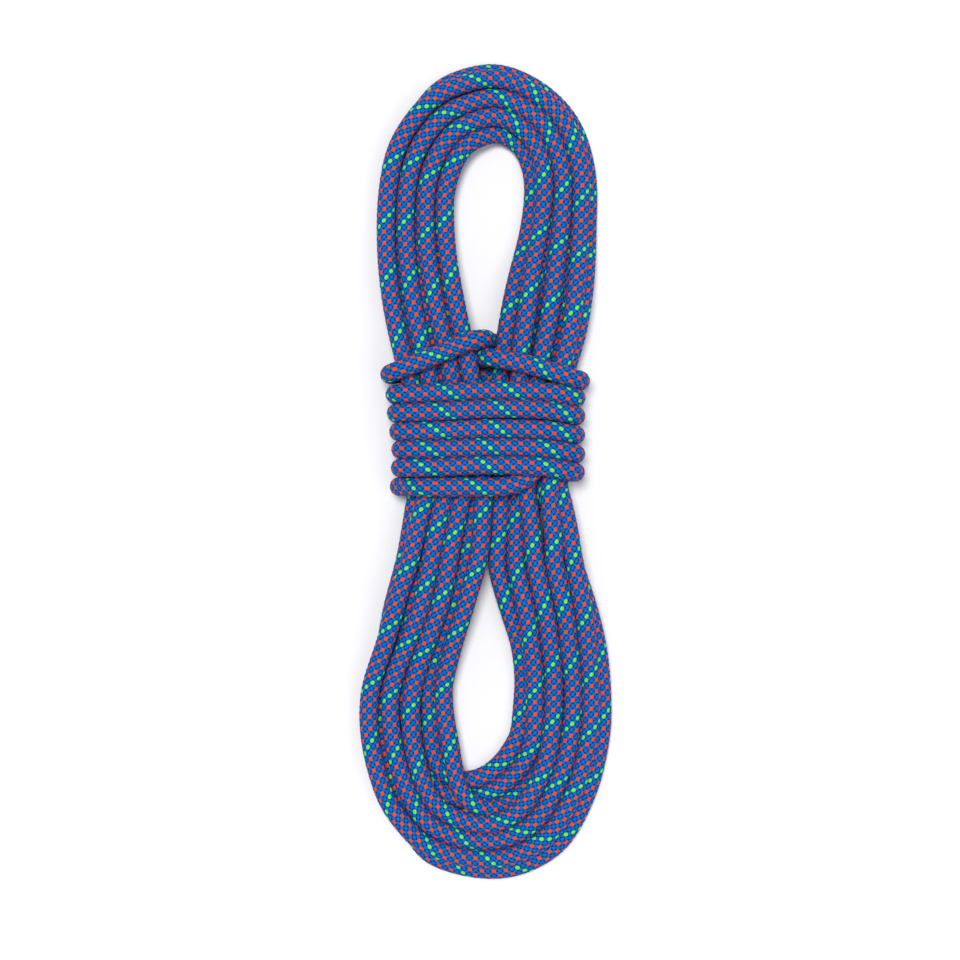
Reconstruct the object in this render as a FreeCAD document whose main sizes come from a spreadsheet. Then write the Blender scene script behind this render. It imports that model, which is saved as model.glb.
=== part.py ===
import FreeCAD, Part
import Sketcher
import math
import os

# A climbing rope wound into a flat hank. Long turns make an upper and a lower lobe, each with an
# open eye; the rope's own strand is wrapped round the waist and locked over the top wrap.
# Frame: the hank lies on its back on a surface at z = 0, its length along Y, its width along X.
# The origin is the centre of the underside of its box.

Vector = FreeCAD.Vector
Rotation = FreeCAD.Rotation
Constraint = Sketcher.Constraint

# Lengths are in mm. The stack at the waist is counted in rope diameters: one layer of wraps behind,
# two layers of turns and one layer of wraps in front.
SIZES = [
    ("rope_diameter", "9.8"),
    ("core_radius", "3.4"),
    ("turn_layers", "2"),
    ("waist_layers", "4"),
    ("front_wrap_layers", "3.5"),
    ("wrap_corner_layers", "1.6"),
    ("waist_low_y", "-13.4"),
    ("waist_high_y", "43"),
    ("bundle_half_width", "44"),
    ("wrap_half_width", "52.5"),
    ("end_straight", "34"),
    ("band_length", "16"),
    ("band_wall", "0.35"),
    ("cap_length", "2.2"),
    ("cap_tip_share", "0.75"),
    ("cap_shoulder_share", "0.5"),
    ("inner_strands", "3"),
    ("outer_strands", "10"),
    ("arch_low_y", "-68"),
    ("arch_high_y", "82"),
    ("lobe_low_y", "-128"),
    ("lobe_high_y", "142"),
    ("lobe_far_y", "225"),
]

# Outlines seen from above, in mm: the outer edge, clockwise from the lower left of the waist,
# and the edges of the two eyes.
OUTER_EDGE = [
    (-44, -8), (-44, 14), (-44, 38), (-50, 66), (-56, 100), (-57, 134), (-51, 172.5), (-32, 202.5),
    (2, 215.4), (34, 203.5), (53, 180), (59, 142), (58, 102), (51, 66), (44, 38), (44, 14), (44, -8),
    (50, -36), (59.5, -74), (66.2, -118), (62.5, -160), (42, -201.5), (2, -215.4), (-40, -200.5),
    (-62, -159), (-66.2, -118), (-58, -82), (-49, -40),
]
UPPER_EYE = [
    (0, 58), (-8, 80), (-14, 106), (-17, 136), (-10, 162),
    (5, 172), (17, 165), (21, 144), (13, 106), (6, 78),
]
LOWER_EYE = [
    (1, -51), (5, -66), (13.5, -94), (15.5, -118), (8, -145),
    (-9, -158), (-15, -140), (-16, -112), (-6.5, -74),
]

# How much of the shorter run an arc takes up on each side of its corner.
ARC_SHARE = 0.45

# The locking strand passes twice over the top of the legs, above the last wrap.
LOCK_RIGHT_ROUTE = [(49, 48.6), (25, 54.6), (0, 58.4)]
LOCK_LEFT_ROUTE = [(-49, 50.8), (-24, 60.2), (1, 67.6)]

# Where each end of the rope lies on the surface, and the way it points, in degrees from +Y.
FIRST_END = (30, -22, 180)
SECOND_END = (46, 66, 90)


def make_sheet(doc):
    """Write the driving sizes, each under its own name."""
    sheet = doc.addObject("Spreadsheet::Sheet", "sizes")
    for row, (name, value) in enumerate(SIZES, start=1):
        sheet.set("A%d" % row, name)
        sheet.set("B%d" % row, value)
        sheet.setAlias("B%d" % row, name)
    doc.recompute()
    return sheet


def closed_wire(points):
    """A smooth closed outline through the points, in the plane of the surface."""
    curve = Part.BSplineCurve()
    curve.interpolate(Points=[Vector(x, y, 0) for x, y in points], PeriodicFlag=True)
    return Part.Wire([curve.toShape()])


def side_profile(sheet):
    """The bundle from the side: flat lobes on the surface, arched over the waist's wraps."""
    rise = sheet.rope_diameter
    thick = sheet.turn_layers * rise
    far = sheet.lobe_far_y
    lower = [
        (-far, 0),
        (sheet.lobe_low_y, 0),
        (sheet.arch_low_y, rise),
        (sheet.arch_high_y, rise),
        (sheet.lobe_high_y, 0),
        (far, 0),
    ]
    upper = [(y, z + thick) for y, z in reversed(lower)]
    corners = [Vector(0, y, z) for y, z in lower + upper]
    return Part.Face(Part.makePolygon(corners + corners[:1]))


def bundle_shape(sheet):
    """The long turns as one closed solid with both eyes open."""
    reach = 2 * sheet.wrap_half_width
    plan = Part.Face(closed_wire(OUTER_EDGE))
    for eye in (UPPER_EYE, LOWER_EYE):
        plan = plan.cut(Part.Face(closed_wire(eye)))
    column = plan.extrude(Vector(0, 0, sheet.waist_layers * sheet.rope_diameter))
    profile = side_profile(sheet)
    profile.translate(Vector(-reach, 0, 0))
    slab = profile.extrude(Vector(2 * reach, 0, 0))
    return column.common(slab)


def rounded_route(points, height):
    """Straight runs joined by tangent arcs, each as large as its two runs allow."""
    corners = [Vector(x, y, height) for x, y in points]
    edges = []
    radii = []
    start = corners[0]
    for before, corner, after in zip(corners, corners[1:], corners[2:]):
        to_corner = corner - before
        from_corner = after - corner
        turn = to_corner.getAngle(from_corner)
        setback = ARC_SHARE * min(to_corner.Length, from_corner.Length)
        radius = setback / math.tan(turn / 2)
        arc_start = corner - to_corner.normalize() * setback
        arc_end = corner + from_corner.normalize() * setback
        inward = (arc_start + arc_end) * 0.5 - corner
        middle_reach = radius / math.cos(turn / 2) - radius
        middle = corner + inward.normalize() * middle_reach
        edges.append(Part.LineSegment(start, arc_start).toShape())
        edges.append(Part.Arc(arc_start, middle, arc_end).toShape())
        radii.append(radius)
        start = arc_end
    edges.append(Part.LineSegment(start, corners[-1]).toShape())
    return Part.Wire(edges), radii


def add_swept_disc(doc, sheet, name, route, radius_formula):
    """A round bar along a route at the height of the front wraps."""
    wire, radii = rounded_route(route, sheet.front_wrap_layers * sheet.rope_diameter)
    path = doc.addObject("Part::Feature", name + "_route")
    path.Shape = wire
    start = wire.Edges[0].Vertexes[0].Point
    along = wire.Edges[0].Vertexes[1].Point - start
    disc = doc.addObject("Part::Circle", name + "_section")
    disc.setExpression("Radius", radius_formula)
    disc.Placement = FreeCAD.Placement(start, Rotation(Vector(0, 0, 1), along))
    sweep = doc.addObject("Part::Sweep", name)
    sweep.Sections = [disc]
    sweep.Spine = (path, ["Edge%d" % number for number in range(1, len(wire.Edges) + 1)])
    sweep.Solid = True
    doc.recompute()
    expected = math.pi * disc.Radius.Value ** 2 * wire.Length
    print("%s: arc radii %s mm, volume %.1f of %.1f mm3"
          % (name, [round(radius, 1) for radius in radii], sweep.Shape.Volume, expected))
    return sweep


def add_cut(doc, name, base, tool):
    cut = doc.addObject("Part::Cut", name)
    cut.Base = base
    cut.Tool = tool
    cut.Label = name
    return cut


def add_lock_strand(doc, sheet, side, route):
    """One pass of the locking strand: its sheath and, inside it, its core."""
    core = add_swept_disc(doc, sheet, "lock_core_" + side, route, "sizes.core_radius")
    core.Label = "lock_core_" + side
    outer = add_swept_disc(doc, sheet, "lock_outer_" + side, route, "sizes.rope_diameter / 2")
    sheath = add_cut(doc, "lock_sheath_" + side, outer, core)
    return [sheath, core]


def attach(sketch, body, role):
    plane = [item for item in body.Origin.OriginFeatures if item.Role == role][0]
    sketch.AttachmentSupport = [(plane, "")]
    sketch.MapMode = "FlatFace"


def add_polygon(sketch, corners):
    """Closed straight-sided outline; returns the number of its first side."""
    first = sketch.GeometryCount
    count = len(corners)
    for index, corner in enumerate(corners):
        following = corners[(index + 1) % count]
        segment = Part.LineSegment(Vector(*corner, 0), Vector(*following, 0))
        sketch.addGeometry(segment, False)
    return first


def add_waist_wraps(doc, sheet):
    """The ring of wraps round the waist, six turns side by side."""
    diameter = sheet.rope_diameter
    inner = sheet.bundle_half_width
    body = doc.addObject("PartDesign::Body", "waist_wraps")
    body.Label = "waist_wraps"
    sketch = body.newObject("Sketcher::SketchObject", "waist_section")
    attach(sketch, body, "XZ_Plane")
    tunnel = sheet.turn_layers * diameter
    roof = diameter + tunnel
    edge = add_polygon(sketch, [(-inner, diameter), (inner, diameter), (inner, roof), (-inner, roof)])
    for side in range(4):
        sketch.addConstraint(Constraint("Coincident", edge + side, 2, edge + (side + 1) % 4, 1))
    for side in (0, 2):
        sketch.addConstraint(Constraint("Horizontal", edge + side))
    for side in (1, 3):
        sketch.addConstraint(Constraint("Vertical", edge + side))

    def size(kind, *arguments):
        return sketch.addConstraint(Constraint(kind, *arguments))

    width = size("DistanceX", edge, 1, edge, 2, 2 * inner)
    height = size("DistanceY", edge + 1, 1, edge + 1, 2, tunnel)
    left = size("DistanceX", edge, 1, -1, 1, inner)
    low = size("DistanceY", -1, 1, edge, 1, diameter)
    sketch.setExpression("Constraints[%d]" % width, "2 * sizes.bundle_half_width")
    sketch.setExpression("Constraints[%d]" % height, "sizes.turn_layers * sizes.rope_diameter")
    sketch.setExpression("Constraints[%d]" % left, "sizes.bundle_half_width")
    sketch.setExpression("Constraints[%d]" % low, "sizes.rope_diameter")

    radius = sheet.wrap_corner_layers * diameter
    reach = sheet.wrap_half_width
    top = sheet.waist_layers * diameter
    flat = reach - radius
    high = top - radius

    def corner_arc(x, y, quarter):
        circle = Part.Circle(Vector(x, y, 0), Vector(0, 0, 1), radius)
        return Part.ArcOfCircle(circle, quarter * math.pi / 2, (quarter + 1) * math.pi / 2)

    outline = [
        Part.LineSegment(Vector(-flat, 0, 0), Vector(flat, 0, 0)),
        corner_arc(flat, radius, -1),
        Part.LineSegment(Vector(reach, radius, 0), Vector(reach, high, 0)),
        corner_arc(flat, high, 0),
        Part.LineSegment(Vector(flat, top, 0), Vector(-flat, top, 0)),
        corner_arc(-flat, high, 1),
        Part.LineSegment(Vector(-reach, high, 0), Vector(-reach, radius, 0)),
        corner_arc(-flat, radius, 2),
    ]
    first = sketch.GeometryCount
    for piece in outline:
        sketch.addGeometry(piece, False)
    for index in range(len(outline)):
        sketch.addConstraint(Constraint("Tangent", first + index, 2, first + (index + 1) % len(outline), 1))
    sketch.addConstraint(Constraint("Horizontal", first))
    sketch.addConstraint(Constraint("Vertical", first + 2))
    for corner in (3, 5, 7):
        sketch.addConstraint(Constraint("Equal", first + 1, first + corner))
    rounding = size("Radius", first + 1, radius)
    across = size("DistanceX", first + 6, 1, first + 2, 1, 2 * reach)
    tall = size("DistanceY", first, 1, first + 4, 2, top)
    start = size("DistanceX", first + 6, 1, -1, 1, reach)
    size("DistanceY", -1, 1, first, 1, 0)
    sketch.setExpression("Constraints[%d]" % rounding, "sizes.wrap_corner_layers * sizes.rope_diameter")
    sketch.setExpression("Constraints[%d]" % across, "2 * sizes.wrap_half_width")
    sketch.setExpression("Constraints[%d]" % tall, "sizes.waist_layers * sizes.rope_diameter")
    sketch.setExpression("Constraints[%d]" % start, "sizes.wrap_half_width")
    pad = body.newObject("PartDesign::Pad", "waist_pad")
    pad.Profile = sketch
    pad.setExpression("Length", "sizes.waist_high_y - sizes.waist_low_y")
    pad.Reversed = True
    body.Tip = pad
    body.setExpression("Placement.Base.y", "sizes.waist_low_y")
    return body


def add_revolved(doc, name, profile):
    """A turned piece about its own Y axis, from (distance along, radius) formulas."""
    body = doc.addObject("PartDesign::Body", name)
    body.Label = name
    sketch = body.newObject("Sketcher::SketchObject", name + "_profile")
    attach(sketch, body, "XY_Plane")
    values = [(along[0], radius[0]) for along, radius in profile]
    edge = add_polygon(sketch, [(radius, along) for along, radius in values])
    count = len(values)
    for index in range(count):
        sketch.addConstraint(Constraint("Coincident", edge + index, 2, edge + (index + 1) % count, 1))
    for index, (along, radius) in enumerate(profile):
        across = sketch.addConstraint(Constraint("DistanceX", -1, 1, edge + index, 1, radius[0]))
        up = sketch.addConstraint(Constraint("DistanceY", -1, 1, edge + index, 1, along[0]))
        sketch.setExpression("Constraints[%d]" % across, radius[1])
        sketch.setExpression("Constraints[%d]" % up, along[1])
    turned = body.newObject("PartDesign::Revolution", name + "_turned")
    turned.Profile = sketch
    turned.ReferenceAxis = (sketch, ["V_Axis"])
    turned.Angle = 360
    body.Tip = turned
    return body


def add_rope_end(doc, sheet, name, spot):
    """A straight stretch with the rope's end: sheath, core strands, end band and fused cap."""
    x, y, heading = spot
    height = sheet.rope_diameter / 2
    place = FreeCAD.Placement(Vector(x, y, height), Rotation(Vector(0, 0, 1), heading))
    rope = sheet.rope_diameter / 2
    core = sheet.core_radius
    neck = rope - sheet.band_wall
    length = sheet.end_straight
    band = sheet.band_length
    rope_at = (rope, "sizes.rope_diameter / 2")
    core_at = (core, "sizes.core_radius")
    neck_at = (neck, "sizes.rope_diameter / 2 - sizes.band_wall")
    tip_at = (sheet.cap_tip_share * rope, "sizes.cap_tip_share * sizes.rope_diameter / 2")
    origin = (0, "0 * sizes.end_straight")
    axis = (0, "0 * sizes.core_radius")
    band_at = (band, "sizes.band_length")
    length_at = (length, "sizes.end_straight")
    cap_at = (-sheet.cap_length, "-sizes.cap_length")
    shoulder = -sheet.cap_shoulder_share * sheet.cap_length
    shoulder_at = (shoulder, "-sizes.cap_shoulder_share * sizes.cap_length")
    sheath = add_revolved(doc, name + "_sheath",
                          [(origin, core_at), (origin, neck_at), (band_at, neck_at),
                           (band_at, rope_at), (length_at, rope_at), (length_at, core_at)])
    sleeve = add_revolved(doc, name + "_band",
                          [(origin, neck_at), (origin, rope_at), (band_at, rope_at), (band_at, neck_at)])
    cap = add_revolved(doc, name + "_cap",
                       [(origin, axis), (origin, rope_at),
                        (shoulder_at, rope_at), (cap_at, tip_at), (cap_at, axis)])
    strands = doc.addObject("Part::Compound", name + "_core_strands")
    strands.Label = name + "_core_strands"
    links = []
    rings = ((int(sheet.inner_strands), "inner"), (int(sheet.outer_strands), "outer"))
    outer_count = rings[1][0]
    strand = core / (1 + 1 / math.sin(math.pi / outer_count))
    for count, ring in rings:
        ring_radius = strand / math.sin(math.pi / count)
        for index in range(count):
            angle = 2 * math.pi * index / count
            rod = doc.addObject("Part::Cylinder", "%s_%s_strand_%d" % (name, ring, index + 1))
            rod.setExpression("Radius", "sizes.core_radius / (1 + 1 / sin(180 deg / sizes.outer_strands))")
            rod.setExpression("Height", "sizes.end_straight")
            centre = Vector(ring_radius * math.cos(angle), 0, ring_radius * math.sin(angle))
            rod.Placement = FreeCAD.Placement(centre, Rotation(Vector(1, 0, 0), -90))
            links.append(rod)
    strands.Links = links
    pieces = [sheath, sleeve, cap, strands]
    for piece in pieces:
        piece.Placement = place
    return pieces


def add_bundle(doc, sheet):
    """The long turns as one outer shape."""
    bundle = doc.addObject("Part::Feature", "hank_turns")
    bundle.Label = "hank_turns"
    bundle.Shape = bundle_shape(sheet)
    return bundle


def check_and_write(doc, nodes):
    """Stop on any failed feature or bad shape, then write each sub-part to its own file."""
    for item in doc.Objects:
        if "Invalid" in item.State or "Error" in item.State:
            raise RuntimeError("%s failed to build: %s" % (item.Name, item.State))
    os.makedirs("parts", exist_ok=True)
    for node in nodes:
        shape = node.Shape
        if shape.isNull() or not shape.isValid() or shape.Volume <= 0:
            raise RuntimeError("%s has no valid solid" % node.Label)
        shape.exportStep("parts/%s.step" % node.Label)
        print("%s: %d solid(s), %.1f mm3" % (node.Label, len(shape.Solids), shape.Volume))


def main():
    doc = FreeCAD.newDocument("climbing_rope_hank")
    sheet = make_sheet(doc)
    lock = add_lock_strand(doc, sheet, "right", LOCK_RIGHT_ROUTE)
    lock += add_lock_strand(doc, sheet, "left", LOCK_LEFT_ROUTE)
    first_end = add_rope_end(doc, sheet, "first_end", FIRST_END)
    second_end = add_rope_end(doc, sheet, "second_end", SECOND_END)
    wraps = add_waist_wraps(doc, sheet)
    doc.recompute()
    bundle = add_bundle(doc, sheet)
    doc.recompute()
    check_and_write(doc, [bundle, wraps] + lock + first_end + second_end)


main()
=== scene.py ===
import math

import bpy
import numpy as np
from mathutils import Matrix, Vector


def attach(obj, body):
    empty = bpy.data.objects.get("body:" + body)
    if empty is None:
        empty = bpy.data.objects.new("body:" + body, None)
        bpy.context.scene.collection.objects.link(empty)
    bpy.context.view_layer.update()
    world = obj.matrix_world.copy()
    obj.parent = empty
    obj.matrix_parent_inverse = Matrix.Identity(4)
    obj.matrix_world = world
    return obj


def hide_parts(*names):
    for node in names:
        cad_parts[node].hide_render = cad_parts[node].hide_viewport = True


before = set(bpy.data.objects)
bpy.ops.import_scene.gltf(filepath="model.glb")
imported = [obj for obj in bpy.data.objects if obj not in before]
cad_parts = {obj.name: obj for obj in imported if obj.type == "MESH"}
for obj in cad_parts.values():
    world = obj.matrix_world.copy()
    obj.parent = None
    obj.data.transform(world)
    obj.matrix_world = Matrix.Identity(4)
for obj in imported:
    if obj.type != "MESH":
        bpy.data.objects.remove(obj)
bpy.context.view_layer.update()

# The route is in millimetres, with its heights in rope diameters, and becomes metres in nurbs_line.
MM = 0.001
ROPE = 9.8              # the rope's diameter
LOW = 0.5               # the lower layer of strands, on the surface
HIGH = 1.37             # the upper layer, sunk a little between the lower strands
STEP = 5.0              # between two points of the route

# Between the lobes the bundle is lifted over the backs of the wraps: where each ramp leaves the surface,
# and how far it runs.
WAIST_LIFT = 1.0
LOW_RAMP = (-122, 62)
HIGH_RAMP = (136, 58)

# How the strands settle against each other.
CONTACT = 9.5           # from centre to centre of two strands that press together
ROUNDS = 260
SEARCH_EVERY = 12       # rounds between two searches for near strands
SEARCH_REACH = 1.45     # in rope diameters
NEIGHBOURS = 5          # points this near along the rope never count as touching
CROWDING = 0.6          # a point that many strands push moves less
HOMING_SHARE = 0.7      # the share of the rounds in which a strand is drawn back to its own line
HOMING = 0.985
HEIGHT_HOMING = 0.995

# Each station of a lobe: the bundle's outer edge, then the edge of its eye, as seen from above.
UPPER_STATIONS = [
    (-42, 38, 0, 38), (-48, 58, -3, 58), (-54, 88, -10, 88), (-56.8, 118, -15, 116), (-56, 147, -16, 143),
    (-50, 175.5, -11.5, 160), (-33, 201, -5.5, 168.5), (-13, 212, 1, 172), (9, 214.5, 7, 173.5),
    (32.5, 204, 13, 171), (50, 185, 18.4, 164.6), (58.5, 158, 21.4, 150), (59, 127, 18.5, 127),
    (57.5, 96, 10, 96), (53, 68, 4, 68), (43.5, 38, 1, 38),
]
LOWER_STATIONS = [
    (43.3, -10, 4.2, -10), (47.3, -28, 3.5, -28), (53, -50, 2, -50), (59.5, -72, 7.5, -72),
    (64.5, -94, 13.8, -93), (66.8, -118, 15.5, -116), (66, -142, 11, -136), (59, -171, 4, -149),
    (44.5, -198, -3, -155.5), (24, -212, -6, -158), (2, -215.8, -8.5, -158.5), (-23, -211, -10, -156.5),
    (-43, -198.5, -11.5, -152.5), (-57, -173, -11.8, -148), (-64.8, -145, -14, -135),
    (-65.4, -118, -15.5, -116), (-58, -90, -10.5, -90), (-52.8, -68, -4.6, -68), (-46.5, -42, 2.2, -42),
    (-42, -10, 4, -10),
]

# How far in from the outer edge each strand lies (0 outermost, 1 at the eye) and its layer, by station.
UPPER_STRANDS = {
    "top_1": ([(0, 0), (4, 0), (7, 0.13), (14, 0.13), (15, 0.1)], [(0, HIGH)]),
    "top_2": ([(0, 0.33), (4, 0.33), (7, 0.45), (12, 0.46), (14, 0.42), (15, 0.36)], [(0, HIGH)]),
    "top_3": ([(0, 0.67), (4, 0.67), (7, 0.76), (12, 0.82), (14, 0.7), (15, 0.56)], [(0, HIGH)]),
    "top_4": ([(0, 1), (15, 1)], [(0, HIGH), (5, HIGH), (10, LOW), (15, LOW)]),
    "base_1": ([(0, 0.15), (4, 0.15), (7, 0), (15, 0)], [(0, LOW)]),
    "base_2": ([(0, 0.5), (4, 0.5), (8, 0.36), (15, 0.34)], [(0, LOW)]),
    "base_3": ([(0, 0.84), (4, 0.84), (8, 0.72), (15, 0.67)], [(0, LOW)]),
}
LOWER_STRANDS = {
    "top_1": ([(0, 0.02), (1, 0.02), (2, 0.05), (3, 0.09), (4, 0.14), (5, 0.15), (7, 0.145), (10, 0.142),
               (11, 0.121), (12, 0.086), (13, 0.006), (15, 0), (17, 0.05), (18, 0.09), (19, 0.165)],
              [(0, 0.9), (2.5, HIGH)]),
    "top_2": ([(0, 0.2), (1.3, 0.22), (2, 0.272), (3, 0.3), (4, 0.37), (5, 0.37), (7, 0.345), (8, 0.328),
               (10, 0.345), (11, 0.33), (12, 0.305), (13, 0.285), (14, 0.28), (15, 0.27), (17, 0.39),
               (18, 0.355), (19, 0.42)], [(0, HIGH)]),
    "top_3": ([(0, 0.56), (1.3, 0.53), (2, 0.52), (3, 0.55), (4, 0.615), (5, 0.62), (7, 0.545), (8, 0.535),
               (9, 0.547), (10, 0.574), (11, 0.571), (12, 0.54), (13, 0.522), (14, 0.523), (15, 0.552),
               (17, 0.65), (18, 0.605), (19, 0.69)], [(0, HIGH), (8, HIGH), (9.5, 1.5), (11, HIGH)]),
    "base_1": ([(0, 0.2), (1, 0.1), (2, 0), (11.2, 0), (12.4, 0.12), (14, 0.12), (17, 0.02), (19, 0)],
               [(0, LOW)]),
    "inner_right": ([(0, 1), (5, 1)], [(0, LOW)]),
    "second_right": ([(0, 0.69), (1, 0.75), (2, 0.765), (3, 0.79), (4, 0.86), (5, 0.86)],
                     [(0, LOW), (1, LOW), (3, HIGH)]),
    "left_edge": ([(15, 0.96), (17, 1), (19, 1)], [(15, HIGH)]),
    "left_base_3": ([(15, 0.757), (17, 0.85), (19, 0.84)], [(15, LOW)]),
    "left_base_2": ([(15, 0.4), (16, 0.26), (17, 0.24), (19, 0.42)], [(15, LOW)]),
}

# Under the lower eye three strands cross: points in mm, heights in rope diameters.
FIRST_TAIL = [(30, -22, 0.5), (30, -39, 0.5), (30, -56, 0.5)]
EDGE_CROSSING = [
    (32, -70, 0.5), (35.7, -84, 0.5), (38.6, -98, 0.5), (39.8, -112, 0.5), (39.6, -125, 0.5),
    (37.6, -138, 0.5), (33, -149.8, 0.5), (26.7, -160.3, 0.5), (20.5, -168.4, 0.5), (14.1, -173.6, 0.5),
    (9.5, -176.4, 0.6), (4.5, -177.7, 0.78), (-1, -177.2, 0.99), (-6.1, -175.4, 1.2),
    (-10.4, -172.2, 1.34), (-13.6, -167.7, 1.42), (-15.5, -161.8, 1.44), (-16.8, -156, 1.44),
    (-17.9, -149, 1.42), (-19.2, -140.5, 1.39), (-21, -130, 1.37),
]
INNER_CROSSING = [
    (18.5, -137.5, 0.5), (15.4, -145.3, 0.5), (9.8, -153.8, 0.5), (2, -160.8, 0.5), (-7.3, -164.3, 0.5),
    (-16.2, -163.7, 0.5), (-24, -158.2, 0.5), (-28, -149, 0.5), (-29.2, -137.5, 0.5), (-29.6, -127, 0.5),
]
SECOND_CROSSING = [
    (26.3, -131.5, 1.34), (24.8, -146, 1.12), (17.4, -159.8, 0.8), (5.4, -170.7, 0.54),
    (-7.2, -176.2, 0.5), (-18.6, -173.2, 0.5), (-26.1, -168.2, 0.5), (-31.4, -162, 0.5),
    (-35.3, -154.4, 0.5), (-37.4, -146, 0.5), (-39.4, -136, 0.5), (-42, -127, 0.5),
]

# The rope comes out of the right leg and turns left as the first, lowest wrap.
WRAP_START = [
    (25, 27, 2.37), (30, 17, 2.4), (30.5, 8, 2.5), (27, 0, 2.7), (20, -5.5, 2.95), (11, -8, 3.2),
    (0, -8.4, 3.33), (-14, -8.5, 3.37), (-28, -8.6, 3.35),
]
# Where each wrap turns round the left and the right edge of the bundle.
LEFT_END_Y = (-8.6, 1.3, 10.7, 20.3, 30.0, 39.9)
RIGHT_END_Y = (-1.3, 8.1, 18.5, 28.4, 38.3, 47.2)
LEFT_END_X = (-42.0, -44.0, -44.0, -45.2, -46.5, -47.2)
RIGHT_END_X = (45.0, 45.0, 45.5, 46.2, 47.4, 48.1)
# At each end a wrap turns up: how far in from the end, as a share of it, and how high.
TURN_UP = ((0, 1.93), (0.045, 0.95))
SHOULDER = 2.9
OVER_THE_TOP = 3.37
SHOULDER_INSET = 2
SHOULDER_RISE = 0.4
BACK_SHARES = (0.12, 0.3, 0.5, 0.7, 0.88)
LAST_BACK_BOW = 6.5
# Over the front each wrap climbs to the next in a low hump: the share of the way across, then mm.
FRONT_HUMP = ((0.14, 2.0), (0.3, 2.6), (0.5, 2.4), (0.7, 1.2), (0.86, 0.3))
# From the last wrap the rope crosses the front, dives between the legs, goes round the left leg and back
# over the front, dives again and ends behind the right leg.
LOCK = [
    (39, 49.6, 3.3), (28, 53, 3.37), (16, 56.2, 3.37), (6, 58.2, 3.3), (0.4, 59.3, 2.8),
    (-1.8, 59.4, 1.9), (-2.6, 58.8, 1.1), (-5.5, 58.2, 0.6), (-12, 58, 0.5), (-22, 57, 0.5),
    (-33, 54.6, 0.5), (-43, 51.4, 0.75), (-48.3, 50.2, 1.45), (-49, 50.2, 2.4), (-45, 51.6, 3.1),
    (-36, 54.8, 3.35), (-25, 59, 3.4), (-14, 63.4, 3.45), (-6, 66.4, 3.5), (0, 67.3, 3.1),
    (2.6, 67.2, 2.2), (3.6, 67, 1.3), (7, 66.6, 0.65), (13, 66, 0.5), (24, 66, 0.5), (35, 66, 0.5),
    (46, 66, 0.5),
]
PINNED_TAIL = 34.0      # this much of each end stays where the CAD has it


def ease(value):
    """From 0 to 1 with a gentle start and end."""
    return value * value * (3 - 2 * value)


def keyed(positions, keys):
    """A quantity given at a few stations, eased between them."""
    where = [key[0] for key in keys]
    what = np.array([key[1] for key in keys])
    place = np.clip(np.interp(positions, where, range(len(keys))), 0, len(keys) - 1)
    before = np.minimum(place.astype(int), max(len(keys) - 2, 0))
    after = np.minimum(before + 1, len(keys) - 1)
    return what[before] + (what[after] - what[before]) * ease(place - before)


def through(points, positions):
    """A smooth curve through points, read at fractional positions along the list."""
    points = np.asarray(points, float)
    last = len(points) - 1
    index = np.clip(np.floor(positions).astype(int), 0, last - 1)
    part = (positions - index)[:, None]
    before = points[np.maximum(index - 1, 0)]
    start = points[index]
    end = points[index + 1]
    after = points[np.minimum(index + 2, last)]
    return 0.5 * (
        2 * start + (end - before) * part + (2 * before - 5 * start + 4 * end - after) * part ** 2
        + (3 * start - before - 3 * end + after) * part ** 3
    )


def arch(y):
    """How far the bundle is lifted, in rope diameters: over the wraps at the waist, down to the surface."""
    low_start, low_run = LOW_RAMP
    high_start, high_run = HIGH_RAMP
    low_side = np.clip((y - low_start) / low_run, 0, 1)
    high_side = np.clip((high_start - y) / high_run, 0, 1)
    return WAIST_LIFT * ease(np.minimum(low_side, high_side))


def lobe_strand(stations, strand, first=0, last=None):
    """One strand round a lobe, or part of it, as points in mm."""
    fractions, heights = strand
    last = len(stations) - 1 if last is None else last
    points_per_station = 4
    positions = np.linspace(first, last, points_per_station * (last - first) + 1)
    edges = through(stations, positions)
    outer = edges[:, :2]
    inner = edges[:, 2:]
    inward = inner - outer
    width = np.linalg.norm(inward, axis=1, keepdims=True)
    share = keyed(positions, fractions)[:, None]
    place = outer + inward / width * (ROPE / 2 + share * (width - ROPE))
    height = (keyed(positions, heights) + arch(place[:, 1])) * ROPE
    return np.column_stack([place, height])


def by_hand(points):
    """Points given in mm with heights in rope diameters."""
    return np.array([(x, y, height * ROPE) for x, y, height in points])


def wrap(number):
    """One wrap of the waist: down the left end, across the back, up the right end, over the front."""
    left_x = LEFT_END_X[number]
    left_y = LEFT_END_Y[number]
    right_x = RIGHT_END_X[number]
    right_y = RIGHT_END_Y[number]
    is_last = number + 1 == len(LEFT_END_Y)
    bow = LAST_BACK_BOW if is_last else 0
    points = [(left_x - left_x * inset, left_y, height) for inset, height in TURN_UP]
    for share in BACK_SHARES:
        across = left_y + (right_y - left_y) * share + 4 * bow * share * (1 - share)
        points.append((left_x + (right_x - left_x) * share, across, LOW))
    points += [(right_x - right_x * inset, right_y, height) for inset, height in reversed(TURN_UP)]
    points.append((right_x - SHOULDER_INSET, right_y + SHOULDER_RISE, SHOULDER))
    if not is_last:
        next_y = LEFT_END_Y[number + 1]
        next_x = LEFT_END_X[number + 1]
        for share, hump in FRONT_HUMP:
            x = right_x + (next_x - right_x) * share
            y = right_y + (next_y - right_y) * share + hump
            points.append((x, y, OVER_THE_TOP))
        points.append((next_x + SHOULDER_INSET, next_y, SHOULDER))
    return by_hand(points)


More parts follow.
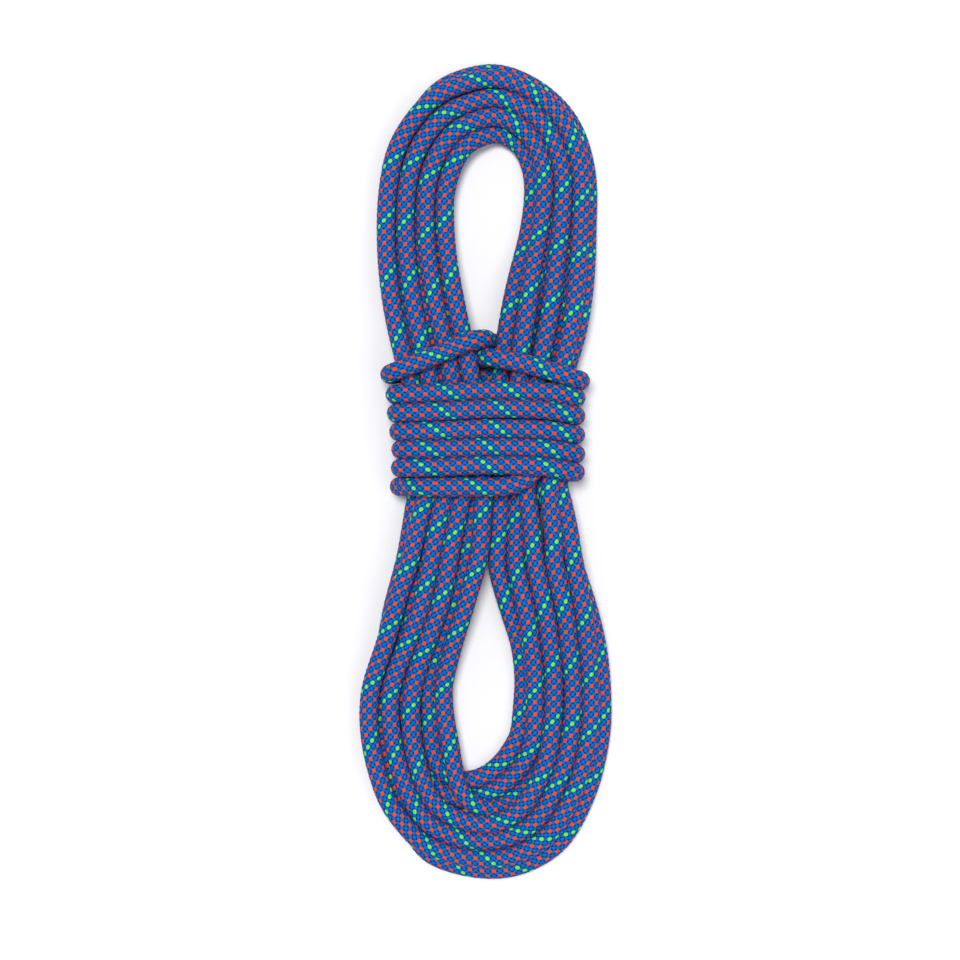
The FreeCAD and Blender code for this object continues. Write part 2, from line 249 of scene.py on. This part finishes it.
def whole_route():
    """The rope from its first end to its second, before it settles."""
    last = len(LOWER_STATIONS) - 1
    crossing_ends = last - 4
    crossing_starts = 5

    def upper(name):
        return lobe_strand(UPPER_STATIONS, UPPER_STRANDS[name])

    def lower(name):
        return lobe_strand(LOWER_STATIONS, LOWER_STRANDS[name])

    def left(name):
        return lobe_strand(LOWER_STATIONS, LOWER_STRANDS[name], crossing_ends, last)

    def right(name):
        return lobe_strand(LOWER_STATIONS, LOWER_STRANDS[name], 0, crossing_starts)

    stretches = [
        by_hand(FIRST_TAIL), by_hand(EDGE_CROSSING), left("left_edge"), upper("top_4"),
        right("inner_right"), by_hand(INNER_CROSSING), left("left_base_3"), upper("base_3"),
        right("second_right"), by_hand(SECOND_CROSSING), left("left_base_2"), upper("base_2"),
        lower("base_1"), upper("base_1"), lower("top_1"), upper("top_1"), lower("top_2"), upper("top_2"),
        lower("top_3"), upper("top_3"), by_hand(WRAP_START),
    ]
    stretches += [wrap(number) for number in range(len(LEFT_END_Y))]
    stretches.append(by_hand(LOCK))
    return np.vstack(stretches)


def evenly(points, step):
    """The same line with points a step apart."""
    finest = 0.1
    positions = np.arange(0, len(points) - 1 + 1e-9, finest)
    dense = through(points, positions)
    travelled = np.concatenate([[0], np.cumsum(np.linalg.norm(np.diff(dense, axis=0), axis=1))])
    count = int(round(travelled[-1] / step)) + 1
    wanted = np.linspace(0, travelled[-1], count)
    return np.column_stack([np.interp(wanted, travelled, dense[:, axis]) for axis in range(3)])


def near_pairs(points, reach, gap):
    """Pairs of points closer than reach that aren't neighbours along the rope."""
    block_size = 256
    firsts = []
    seconds = []
    for start in range(0, len(points), block_size):
        block = points[start:start + block_size]
        away = np.linalg.norm(block[:, None, :] - points[None, :, :], axis=2)
        first, second = np.nonzero(away < reach)
        first = first + start
        keep = second - first >= gap
        firsts.append(first[keep])
        seconds.append(second[keep])
    return np.concatenate(firsts), np.concatenate(seconds)


def settle(points):
    """Let the strands push apart until none cuts another, while each keeps near its own line."""
    home = points.copy()
    pinned = int(PINNED_TAIL / STEP)
    hold = np.ones(len(points))
    hold[:pinned] = 0
    hold[-pinned:] = 0
    hold = hold[:, None]
    for turn in range(ROUNDS):
        if turn % SEARCH_EVERY == 0:
            first, second = near_pairs(points, SEARCH_REACH * ROPE, NEIGHBOURS)
        offset = points[second] - points[first]
        distance = np.maximum(np.linalg.norm(offset, axis=1), 1e-6)
        lack = np.maximum(CONTACT - distance, 0)
        push = offset / distance[:, None] * (0.5 * lack)[:, None]
        move = np.zeros_like(points)
        for axis in range(3):
            move[:, axis] -= np.bincount(first, push[:, axis], len(points))
            move[:, axis] += np.bincount(second, push[:, axis], len(points))
        touching = lack > 0
        hits = np.bincount(first[touching], minlength=len(points)).astype(float)
        hits += np.bincount(second[touching], minlength=len(points))
        move /= np.maximum(hits, 1)[:, None] ** CROWDING
        points = points + hold * move
        shift = points - home
        smooth = shift.copy()
        smooth[1:-1] = 0.5 * shift[1:-1] + 0.25 * (shift[:-2] + shift[2:])
        sideways = HOMING if turn < ROUNDS * HOMING_SHARE else 1.0
        shift = shift + hold * (smooth * np.array([sideways, sideways, HEIGHT_HOMING]) - shift)
        points = home + shift
        points[:, 2] = np.maximum(points[:, 2], ROPE / 2)
    return points


def nurbs_line(points):
    """The rope's smooth line: a NURBS spline with the route's points as its control points."""
    curve = bpy.data.curves.new("rope_line", "CURVE")
    curve.dimensions = "3D"
    curve.resolution_u = 8
    spline = curve.splines.new("NURBS")
    spline.points.add(len(points) - 1)
    flat = np.column_stack([points * MM, np.ones(len(points))]).ravel()
    spline.points.foreach_set("co", flat)
    spline.order_u = 3
    spline.use_endpoint_u = True
    carrier = bpy.data.objects.new("rope_line", curve)
    line = bpy.data.meshes.new_from_object(carrier)
    read = np.empty(3 * len(line.vertices))
    line.vertices.foreach_get("co", read)
    bpy.data.objects.remove(carrier)
    bpy.data.curves.remove(curve)
    bpy.data.meshes.remove(line)
    return read.reshape(-1, 3)


# The braid: ten yarns run each way round the sheath and cross one over, one under. Every visible
# crossing is a diamond; half of the right-hand yarns are coloured, and one of those is the tracer.
YARNS = 10
PITCH = 31.5                        # along the rope, for one turn of a yarn
HALF_CELL = PITCH / (2 * YARNS)
FINE = 3       # mesh steps across half a diamond
RELIEF = 0.3                        # how far a diamond stands out
UNEVEN = 0.16                       # how much that varies from point to point
STRETCH = 0.12                      # how much a diamond is drawn out along its own yarn
BAND_REACH = 15.0                   # the sheath is squeezed plain from here to its end, under the band
BAND_FADE = 2.5
BAND_SQUEEZE = 0.2
SWAYS = ((0.35, 61, 0), (0.3, 173, 1))      # slow twists of the braid: angle, length in mm, phase
BLUE, ORANGE, TRACER = range(3)
STRIPS = 16                         # the unwrapped sheath lies in this many strips, side by side
STRIP_MARGIN = 0.04
SEED = 20


def frames_along(line):
    """Unit tangent, normal and binormal at each point of a line, without any twist."""
    tangent = np.gradient(line, axis=0)
    tangent /= np.linalg.norm(tangent, axis=1, keepdims=True)
    normal = np.empty_like(line)
    current = np.array([0.0, 0.0, 1.0])
    for index, along in enumerate(tangent):
        current = current - along * current.dot(along)
        current /= math.sqrt(current.dot(current))
        normal[index] = current
    return tangent, normal, np.cross(tangent, normal)


def distance_along(line):
    """The length travelled along the line at each of its points."""
    steps = np.linalg.norm(np.diff(line, axis=0), axis=1)
    return np.concatenate([[0], np.cumsum(steps)])


def read_at(values, travelled, wanted):
    """Vectors along the line, read at the wanted lengths."""
    return np.column_stack([np.interp(wanted, travelled, values[:, axis]) for axis in range(3)])


def braid_profile(place, total):
    """The sheath's radius before relief, and how much relief it has: plain under the end bands."""
    from_end = np.minimum(place, total - place)
    under_band = 1 - ease(np.clip((from_end - BAND_REACH) / BAND_FADE, 0, 1))
    body = ROPE / 2 - 0.75 * RELIEF
    return body - BAND_SQUEEZE * under_band, RELIEF * (1 - 0.75 * under_band)


def rings_along(line, places):
    """At each place along the line: its centre, two directions across the rope and the one ahead."""
    travelled = distance_along(line) / MM
    tangent, normal, binormal = frames_along(line)
    centre = read_at(line, travelled, places)
    side = read_at(normal, travelled, places)
    side /= np.linalg.norm(side, axis=1, keepdims=True)
    up = read_at(binormal, travelled, places)
    up /= np.linalg.norm(up, axis=1, keepdims=True)
    return centre, side, up, np.cross(side, up)


def sheath_points(line, rows):
    """Rings of points round the rope, every second ring turned by half a step, raised into diamonds."""
    random = np.random.default_rng(SEED)
    total = distance_along(line)[-1] / MM
    places = np.linspace(0, total, rows + 1)
    centre, side, up, ahead = rings_along(line, places)
    row = np.arange(rows + 1)[:, None]
    column = (row + FINE) % 2 + 2 * np.arange(YARNS * FINE)[None, :]
    rising = (row + column) / FINE
    falling = (row - column) / FINE
    cell_rising = 2 * np.round(rising / 2)
    cell_falling = 2 * np.round(falling / 2)
    off_rising = rising - cell_rising
    off_falling = falling - cell_falling
    hand = np.where(((cell_rising + cell_falling) / 2).astype(int) % 2 == 0, 1, -1)
    rising = rising + STRETCH * hand * off_rising * (1 - off_falling ** 2)
    falling = falling - STRETCH * hand * off_falling * (1 - off_rising ** 2)
    slide = (0.5 * (rising + falling) * FINE - row) * (HALF_CELL / FINE) * MM
    sway = sum(turn * np.sin(places / length + phase) for turn, length, phase in SWAYS)
    angle = math.radians(180 / YARNS) * 0.5 * (rising - falling) + sway[:, None]
    dome = (1 - np.abs(off_rising) ** 3) * (1 - np.abs(off_falling) ** 3)
    body, relief = braid_profile(places, total)
    lump = 1 + UNEVEN * (random.random(dome.shape) - 0.5)
    radius = body[:, None] + relief[:, None] * dome * lump
    points = (
        centre[:, None, :]
        + slide[:, :, None] * ahead[:, None, :]
        + (radius * np.cos(angle) * MM)[:, :, None] * side[:, None, :]
        + (radius * np.sin(angle) * MM)[:, :, None] * up[:, None, :]
    )
    return points.reshape(-1, 3)


def sheath_unwrapped(right_hand, middle_row, middle_column, rows):
    """Two layers: Yarn runs along and across each yarn, OFBake lays the whole sheath out in strips."""
    strip_rows = math.ceil(rows / STRIPS)
    strip = (middle_row // strip_rows)[..., None]
    at_row = middle_row[..., None] + np.array([-1, 0, 1, 0])
    at_column = middle_column[..., None] + np.array([0, 1, 0, -1])
    along_rising = (at_row + at_column) / FINE / 2
    along_falling = (at_row - at_column) / FINE / 2
    run = np.where(right_hand[..., None], along_rising, along_falling)
    across = np.where(right_hand[..., None], along_falling, along_rising)
    round_share = (at_column + 1) / (2 * YARNS * FINE + 1)
    along_share = (at_row - strip * strip_rows + 1) / (strip_rows + 2)
    flat_u = (strip + STRIP_MARGIN + (1 - 2 * STRIP_MARGIN) * round_share) / STRIPS
    flat_v = np.broadcast_to(along_share, flat_u.shape)
    return {
        "Yarn": np.stack([run, across], axis=3).reshape(-1, 2),
        "OFBake": np.stack([flat_u, flat_v], axis=3).reshape(-1, 2),
    }


def braided_sheath(line):
    """The rope's sheath as one mesh, with every yarn crossing as its own raised diamond."""
    rows = int(distance_along(line)[-1] / MM / (HALF_CELL / FINE))
    columns = YARNS * FINE
    lower = np.arange(rows - 1)[:, None]
    slot = np.arange(columns)[None, :]
    shift = (lower + FINE) % 2
    bottom = lower * columns + slot
    right = (lower + 1) * columns + (slot + shift) % columns
    left = (lower + 1) * columns + (slot + shift - 1) % columns
    top = (lower + 2) * columns + slot
    faces = np.stack([bottom, right, top, left], axis=2).reshape(-1, 4)

    middle_row = lower + 1
    middle_column = shift + 2 * slot
    rising = 2 * np.round((middle_row + middle_column) / FINE / 2).astype(int)
    falling = 2 * np.round((middle_row - middle_column) / FINE / 2).astype(int)
    right_hand = (rising + falling) // 2 % 2 == 0
    yarn = (-falling // 2) % YARNS
    colour = np.where(right_hand & (yarn % 2 == 0), np.where(yarn == 0, TRACER, ORANGE), BLUE)
    unwrapped = sheath_unwrapped(right_hand, middle_row, middle_column, rows)
    return sheath_points(line, rows), faces, colour.ravel(), unwrapped


def mesh_from(name, points, faces):
    """A smooth-shaded object of four-sided faces."""
    mesh = bpy.data.meshes.new(name)
    mesh.vertices.add(len(points))
    mesh.vertices.foreach_set("co", np.ascontiguousarray(points, dtype=np.float32).ravel())
    mesh.loops.add(faces.size)
    mesh.loops.foreach_set("vertex_index", faces.ravel().astype(np.int32))
    mesh.polygons.add(len(faces))
    mesh.polygons.foreach_set("loop_start", np.arange(0, faces.size, 4, dtype=np.int32))
    mesh.polygons.foreach_set("use_smooth", np.ones(len(faces), dtype=bool))
    mesh.update(calc_edges=True)
    piece = bpy.data.objects.new(name, mesh)
    bpy.context.scene.collection.objects.link(piece)
    return piece


def empty_material(name):
    """A new material: itself, its nodes, its links and its shader."""
    material = bpy.data.materials.new(name)
    material.use_nodes = True
    nodes = material.node_tree.nodes
    return material, nodes, material.node_tree.links, nodes["Principled BSDF"]


def vector_step(nodes, operation, operand=None):
    """One step of vector arithmetic, with its second operand if it has one."""
    step = nodes.new("ShaderNodeVectorMath")
    step.operation = operation
    if operand is not None:
        step.inputs[1].default_value = operand
    return step


def tone_ramp(nodes, dark, light):
    """From a dark tone to a light one, over the middle of a noise."""
    ramp = nodes.new("ShaderNodeValToRGB")
    ramp.color_ramp.elements[0].position = 0.3
    ramp.color_ramp.elements[0].color = (*dark, 1)
    ramp.color_ramp.elements[1].position = 0.7
    ramp.color_ramp.elements[1].color = (*light, 1)
    return ramp


def noise_bump(nodes, links, noise, shader, strength, depth):
    """A fine relief on the shader, from a noise."""
    bump = nodes.new("ShaderNodeBump")
    bump.inputs["Strength"].default_value = strength
    bump.inputs["Distance"].default_value = depth
    links.new(noise.outputs["Fac"], bump.inputs["Height"])
    links.new(bump.outputs["Normal"], shader.inputs["Normal"])


def yarn_material(name, shades, crease_shade_colour, crown):
    """Matte twisted yarn: fine filaments along its run, and each crossing a rounded crown that fades into
    painted shade, a darker colour painted into the crease where it dives beneath the next yarn."""
    material, nodes, links, shader = empty_material(name)
    shader.inputs["Roughness"].default_value = 0.65
    shader.inputs["Specular IOR Level"].default_value = 0.06
    where = nodes.new("ShaderNodeUVMap")
    where.uv_map = "Yarn"
    stretch = nodes.new("ShaderNodeMapping")
    stretch.inputs["Scale"].default_value = (2.5, 16, 1)
    filaments = nodes.new("ShaderNodeTexNoise")
    filaments.inputs["Scale"].default_value = 1
    filaments.inputs["Detail"].default_value = 3
    dark, colour, light = shades
    tone = tone_ramp(nodes, dark, light)
    tone.color_ramp.elements.new(0.5).color = (*colour, 1)
    half = vector_step(nodes, "ADD", (0.5, 0.5, 0.5))
    cell = vector_step(nodes, "FRACTION")
    offset = vector_step(nodes, "SUBTRACT", (0.5, 0.5, 0.5))
    oval = vector_step(nodes, "MULTIPLY", (1.8, 2.1, 0))
    reach = vector_step(nodes, "LENGTH")
    # Painted shade: towards the rim of each diamond the colour darkens into a painted crease shade.
    crease_shade_mask = nodes.new("ShaderNodeMapRange")
    crease_shade_mask.interpolation_type = "SMOOTHSTEP"
    crease_shade_mask.inputs["From Min"].default_value, crease_shade_mask.inputs["From Max"].default_value = crown
    crease_shade_mask.inputs["To Min"].default_value = 1
    crease_shade_mask.inputs["To Max"].default_value = 0
    shade = nodes.new("ShaderNodeMix")
    shade.data_type = "RGBA"
    shade.inputs["A"].default_value = (*crease_shade_colour, 1)
    links.new(where.outputs["UV"], stretch.inputs["Vector"])
    links.new(stretch.outputs["Vector"], filaments.inputs["Vector"])
    links.new(filaments.outputs["Fac"], tone.inputs["Fac"])
    links.new(where.outputs["UV"], half.inputs[0])
    links.new(half.outputs["Vector"], cell.inputs[0])
    links.new(cell.outputs["Vector"], offset.inputs[0])
    links.new(offset.outputs["Vector"], oval.inputs[0])
    links.new(oval.outputs["Vector"], reach.inputs[0])
    links.new(reach.outputs["Value"], crease_shade_mask.inputs["Value"])
    links.new(crease_shade_mask.outputs["Result"], shade.inputs["Factor"])
    links.new(tone.outputs["Color"], shade.inputs["B"])
    links.new(shade.outputs["Result"], shader.inputs["Base Color"])
    noise_bump(nodes, links, filaments, shader, strength=0.5, depth=0.00012)
    return material


def plain_material(name, colour, roughness, grain):
    """Smooth plastic with a faint uneven tone and a soft surface ripple."""
    material, nodes, links, shader = empty_material(name)
    shader.inputs["Roughness"].default_value = roughness
    where = nodes.new("ShaderNodeTexCoord")
    noise = nodes.new("ShaderNodeTexNoise")
    noise.inputs["Scale"].default_value = grain
    noise.inputs["Detail"].default_value = 4
    dark = [0.75 * part for part in colour]
    light = [min(1.0, 1.3 * part) for part in colour]
    tone = tone_ramp(nodes, dark, light)
    links.new(where.outputs["Object"], noise.inputs["Vector"])
    links.new(noise.outputs["Fac"], tone.inputs["Fac"])
    links.new(tone.outputs["Color"], shader.inputs["Base Color"])
    noise_bump(nodes, links, noise, shader, strength=0.35, depth=0.0002)
    return material


def camera_above():
    """A long lens straight above the hank, whose picture is half a metre across 25 mm above the floor."""
    lens = 100.0
    sensor = 36.0
    picture = 0.5004
    surface = 0.025
    middle_x = -0.0026
    middle_y = -0.005
    data = bpy.data.cameras.new("camera")
    data.lens = lens
    data.sensor_width = sensor
    camera = bpy.data.objects.new("camera", data)
    camera.location = (middle_x, middle_y, surface + picture * lens / sensor)
    camera.rotation_euler = (0, 0, 0)
    bpy.context.scene.collection.objects.link(camera)
    bpy.context.scene.camera = camera


def soft_sun(name, place, spread, strength):
    """Even light from the direction of a place above the hank, softened as if by a wide panel."""
    data = bpy.data.lights.new(name, "SUN")
    data.angle = spread
    data.energy = strength
    light = bpy.data.objects.new(name, data)
    light.location = place
    light.rotation_euler = (-Vector(place)).to_track_quat("-Z", "Y").to_euler()
    bpy.context.scene.collection.objects.link(light)


def studio():
    """Pale floor, soft light from nearly straight above and weaker light from all round."""
    size = 6.0
    corners = np.array([(-size, -size, 0), (size, -size, 0), (size, size, 0), (-size, size, 0)], float)
    floor = mesh_from("floor", corners, np.array([[0, 1, 2, 3]]))
    material = bpy.data.materials.new("floor")
    material.use_nodes = True
    shader = material.node_tree.nodes["Principled BSDF"]
    shader.inputs["Base Color"].default_value = (0.94, 0.94, 0.94, 1)
    shader.inputs["Roughness"].default_value = 0.9
    floor.data.materials.append(material)
    world = bpy.data.worlds.new("studio")
    world.use_nodes = True
    world.node_tree.nodes["Background"].inputs["Color"].default_value = (1, 1, 1, 1)
    world.node_tree.nodes["Background"].inputs["Strength"].default_value = 0.27
    bpy.context.scene.world = world
    soft_sun("key", (-0.15, 0.25, 1.7), 0.3, 2.25)
    soft_sun("fill", (0.5, -0.4, 1.5), 0.6, 0.5)
    bpy.context.scene.view_settings.view_transform = "Standard"


def build_rope():
    """The whole rope as one piece, and its centre line in metres."""
    route = settle(evenly(whole_route(), STEP))
    line = nurbs_line(route)
    points, faces, colour, unwrapped = braided_sheath(line)
    rope = mesh_from("rope_sheath", points, faces)
    rope.data.polygons.foreach_set("material_index", colour.astype(np.int32))
    for layer_name, places in unwrapped.items():
        layer = rope.data.uv_layers.new(name=layer_name)
        layer.data.foreach_set("uv", np.ascontiguousarray(places, dtype=np.float32).ravel())
    blues = (0.001, 0.09, 0.4), (0.001, 0.16, 0.58), (0.002, 0.27, 0.84)
    oranges = (0.66, 0.035, 0.005), (0.92, 0.075, 0.009), (1.0, 0.13, 0.015)
    greens = (0.08, 0.56, 0.05), (0.2, 0.8, 0.06), (0.42, 0.97, 0.07)
    # Each yarn gets three tones, then its painted crease shade, then where that painted shade begins and
    # where it is full.
    rope.data.materials.append(yarn_material("sheath_blue", blues, (0.0003, 0.007, 0.08), (0.55, 1.25)))
    rope.data.materials.append(yarn_material("sheath_orange", oranges, (0.02, 0.02, 0.15), (0.85, 1.25)))
    rope.data.materials.append(yarn_material("sheath_tracer", greens, (0.001, 0.06, 0.12), (0.85, 1.3)))
    return rope, line


def finish_ends():
    """Dark smooth sleeves on the rope's ends, and caps of the rope's own yarn melted together."""
    sleeve = plain_material("end_band", (0.012, 0.013, 0.016), 0.38, 420)
    melted = plain_material("end_cap", (0.004, 0.03, 0.11), 0.3, 700)
    for name, material in (("band", sleeve), ("cap", melted)):
        for end in ("first_end_", "second_end_"):
            for piece_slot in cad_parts[end + name].material_slots:
                piece_slot.material = material


camera_above()
rope, rope_line = build_rope()
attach(rope, "root")
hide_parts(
    "hank_turns", "waist_wraps", "lock_sheath_left", "lock_sheath_right",
    "lock_core_left", "lock_core_right", "first_end_sheath", "second_end_sheath",
    "first_end_core_strands", "second_end_core_strands",
)
finish_ends()
studio()
